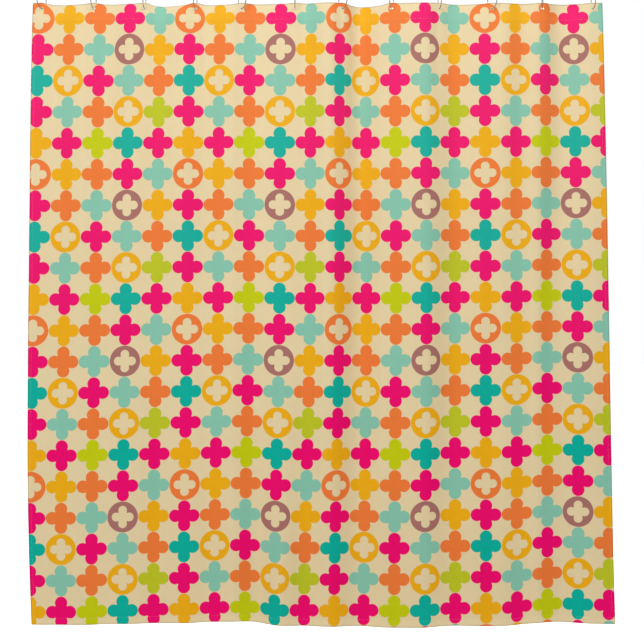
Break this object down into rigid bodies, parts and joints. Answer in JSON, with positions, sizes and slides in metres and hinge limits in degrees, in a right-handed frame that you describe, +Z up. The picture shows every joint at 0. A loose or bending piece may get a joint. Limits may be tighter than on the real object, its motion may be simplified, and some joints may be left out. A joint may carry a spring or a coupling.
{
  "type": "shower curtain",
  "caption": "Hung fabric shower curtain with a printed grid of four-lobed motifs, stitched buttonholes along the top hem and wire rings that slide on a rod.",
  "frame": {"origin": "on the curtain rod's axis, halfway between the first and last ring", "axes": "+X along the rod to the viewer's right, +Z up, the printed front of the cloth faces -Y"},
  "size_m": [1.775, 0.0546, 1.9163],
  "materials": {
    "printed_cloth": "matte woven polyester with a soft sheen, cream ground, printed",
    "sewing_thread": "matte thread",
    "ring_wire": "satin plated"
  },
  "bodies": {
    "ring_01": {"hook_01": "ring_wire"},
    "fold_01": {"cloth_01": "printed_cloth", "top_hem_01": "printed_cloth", "buttonhole_stitch_01": "sewing_thread"},
    "ring_02": {"hook_02": "ring_wire"},
    "fold_02": {"cloth_02": "printed_cloth", "top_hem_02": "printed_cloth", "buttonhole_stitch_02": "sewing_thread"},
    "ring_03": {"hook_03": "ring_wire"},
    "fold_03": {"cloth_03": "printed_cloth", "top_hem_03": "printed_cloth", "buttonhole_stitch_03": "sewing_thread"},
    "ring_04": {"hook_04": "ring_wire"},
    "fold_04": {"cloth_04": "printed_cloth", "top_hem_04": "printed_cloth", "buttonhole_stitch_04": "sewing_thread"},
    "ring_05": {"hook_05": "ring_wire"},
    "fold_05": {"cloth_05": "printed_cloth", "top_hem_05": "printed_cloth", "buttonhole_stitch_05": "sewing_thread"},
    "ring_06": {"hook_06": "ring_wire"},
    "fold_06": {"cloth_06": "printed_cloth", "top_hem_06": "printed_cloth", "buttonhole_stitch_06": "sewing_thread"},
    "ring_07": {"hook_07": "ring_wire"},
    "fold_07": {"cloth_07": "printed_cloth", "top_hem_07": "printed_cloth", "buttonhole_stitch_07": "sewing_thread"},
    "ring_08": {"hook_08": "ring_wire"},
    "fold_08": {"cloth_08": "printed_cloth", "top_hem_08": "printed_cloth", "buttonhole_stitch_08": "sewing_thread"},
    "ring_09": {"hook_09": "ring_wire"},
    "fold_09": {"cloth_09": "printed_cloth", "top_hem_09": "printed_cloth", "buttonhole_stitch_09": "sewing_thread"},
    "ring_10": {"hook_10": "ring_wire"},
    "fold_10": {"cloth_10": "printed_cloth", "top_hem_10": "printed_cloth", "buttonhole_stitch_10": "sewing_thread"},
    "ring_11": {"hook_11": "ring_wire"},
    "fold_11": {"cloth_11": "printed_cloth", "top_hem_11": "printed_cloth", "buttonhole_stitch_11": "sewing_thread"},
    "ring_12": {"hook_12": "ring_wire"},
    "fold_12": {"cloth_12": "printed_cloth", "top_hem_12": "printed_cloth", "buttonhole_stitch_12": "sewing_thread"}
  },
  "joints": [
    {"name": "draw_curtain", "type": "hinge", "parent": "ring_02", "child": "fold_02", "pos_m": [-0.678, 0, -0.039], "axis": [0, 0, -1], "range_deg": [0, 68]},
    {"name": "crease_01_02", "type": "hinge", "parent": "fold_02", "child": "fold_01", "pos_m": [-0.7565, 0.0044, -0.039], "axis": [0, 0, 1], "range_deg": [-1, 137]},
    {"name": "crease_02_03", "type": "hinge", "parent": "fold_02", "child": "fold_03", "pos_m": [-0.601, -0.0046, -0.039], "axis": [0, 0, 1], "range_deg": [-1, 137]},
    {"name": "crease_03_04", "type": "hinge", "parent": "fold_03", "child": "fold_04", "pos_m": [-0.447, 0.0054, -0.039], "axis": [0, 0, -1], "range_deg": [-1, 137]},
    {"name": "crease_04_05", "type": "hinge", "parent": "fold_04", "child": "fold_05", "pos_m": [-0.299, -0.0066, -0.039], "axis": [0, 0, 1], "range_deg": [-1, 137]},
    {"name": "crease_05_06", "type": "hinge", "parent": "fold_05", "child": "fold_06", "pos_m": [-0.148, 0.0044, -0.039], "axis": [0, 0, -1], "range_deg": [-1, 137]},
    {"name": "crease_06_07", "type": "hinge", "parent": "fold_06", "child": "fold_07", "pos_m": [0.0045, -0.0076, -0.039], "axis": [0, 0, 1], "range_deg": [-1, 137]},
    {"name": "crease_07_08", "type": "hinge", "parent": "fold_07", "child": "fold_08", "pos_m": [0.1505, 0.0094, -0.039], "axis": [0, 0, -1], "range_deg": [-1, 137]},
    {"name": "crease_08_09", "type": "hinge", "parent": "fold_08", "child": "fold_09", "pos_m": [0.297, -0.0066, -0.039], "axis": [0, 0, 1], "range_deg": [-1, 137]},
    {"name": "crease_09_10", "type": "hinge", "parent": "fold_09", "child": "fold_10", "pos_m": [0.4495, 0.0054, -0.039], "axis": [0, 0, -1], "range_deg": [-1, 137]},
    {"name": "crease_10_11", "type": "hinge", "parent": "fold_10", "child": "fold_11", "pos_m": [0.605, -0.0076, -0.039], "axis": [0, 0, 1], "range_deg": [-1, 137]},
    {"name": "crease_11_12", "type": "hinge", "parent": "fold_11", "child": "fold_12", "pos_m": [0.758, 0.0094, -0.039], "axis": [0, 0, -1], "range_deg": [-1, 137]},
    {"name": "ring_turn_01", "type": "hinge", "parent": "fold_01", "child": "ring_01", "pos_m": [-0.835, 0, -0.039], "axis": [0, 0, -1], "range_deg": [-1, 10]},
    {"name": "ring_turn_03", "type": "hinge", "parent": "fold_03", "child": "ring_03", "pos_m": [-0.524, 0, -0.039], "axis": [0, 0, -1], "range_deg": [-1, 29]},
    {"name": "ring_turn_04", "type": "hinge", "parent": "fold_04", "child": "ring_04", "pos_m": [-0.37, 0, -0.039], "axis": [0, 0, 1], "range_deg": [-1, 42]},
    {"name": "ring_turn_05", "type": "hinge", "parent": "fold_05", "child": "ring_05", "pos_m": [-0.228, 0, -0.039], "axis": [0, 0, -1], "range_deg": [-1, 62]},
    {"name": "ring_turn_06", "type": "hinge", "parent": "fold_06", "child": "ring_06", "pos_m": [-0.068, 0, -0.039], "axis": [0, 0, 1], "range_deg": [-1, 34]},
    {"name": "ring_turn_07", "type": "hinge", "parent": "fold_07", "child": "ring_07", "pos_m": [0.077, 0, -0.039], "axis": [0, 0, -1], "range_deg": [-1, 62]},
    {"name": "ring_turn_08", "type": "hinge", "parent": "fold_08", "child": "ring_08", "pos_m": [0.224, 0, -0.039], "axis": [0, 0, 1], "range_deg": [-1, 49]},
    {"name": "ring_turn_09", "type": "hinge", "parent": "fold_09", "child": "ring_09", "pos_m": [0.37, 0, -0.039], "axis": [0, 0, -1], "range_deg": [-1, 42]},
    {"name": "ring_turn_10", "type": "hinge", "parent": "fold_10", "child": "ring_10", "pos_m": [0.529, 0, -0.039], "axis": [0, 0, 1], "range_deg": [-1, 6]},
    {"name": "ring_turn_11", "type": "hinge", "parent": "fold_11", "child": "ring_11", "pos_m": [0.681, 0, -0.039], "axis": [0, 0, -1], "range_deg": [-1, 24]},
    {"name": "ring_turn_12", "type": "hinge", "parent": "fold_12", "child": "ring_12", "pos_m": [0.835, 0, -0.039], "axis": [0, 0, 1], "range_deg": [-1, 27]}
  ],
  "couplings": [
    {"joint": "crease_01_02", "follows": "draw_curtain", "ratio": 2},
    {"joint": "crease_02_03", "follows": "draw_curtain", "ratio": 2},
    {"joint": "crease_03_04", "follows": "draw_curtain", "ratio": 2},
    {"joint": "crease_04_05", "follows": "draw_curtain", "ratio": 2},
    {"joint": "crease_05_06", "follows": "draw_curtain", "ratio": 2},
    {"joint": "crease_06_07", "follows": "draw_curtain", "ratio": 2},
    {"joint": "crease_07_08", "follows": "draw_curtain", "ratio": 2},
    {"joint": "crease_08_09", "follows": "draw_curtain", "ratio": 2},
    {"joint": "crease_09_10", "follows": "draw_curtain", "ratio": 2},
    {"joint": "crease_10_11", "follows": "draw_curtain", "ratio": 2},
    {"joint": "crease_11_12", "follows": "draw_curtain", "ratio": 2},
    {"joint": "ring_turn_01", "follows": "draw_curtain", "ratio": 0.13235},
    {"joint": "ring_turn_03", "follows": "draw_curtain", "ratio": 0.41176},
    {"joint": "ring_turn_04", "follows": "draw_curtain", "ratio": 0.60294},
    {"joint": "ring_turn_05", "follows": "draw_curtain", "ratio": 0.89706},
    {"joint": "ring_turn_06", "follows": "draw_curtain", "ratio": 0.48529},
    {"joint": "ring_turn_07", "follows": "draw_curtain", "ratio": 0.89706},
    {"joint": "ring_turn_08", "follows": "draw_curtain", "ratio": 0.70588},
    {"joint": "ring_turn_09", "follows": "draw_curtain", "ratio": 0.60294},
    {"joint": "ring_turn_10", "follows": "draw_curtain", "ratio": 0.073529},
    {"joint": "ring_turn_11", "follows": "draw_curtain", "ratio": 0.33824},
    {"joint": "ring_turn_12", "follows": "draw_curtain", "ratio": 0.38235}
  ]
}
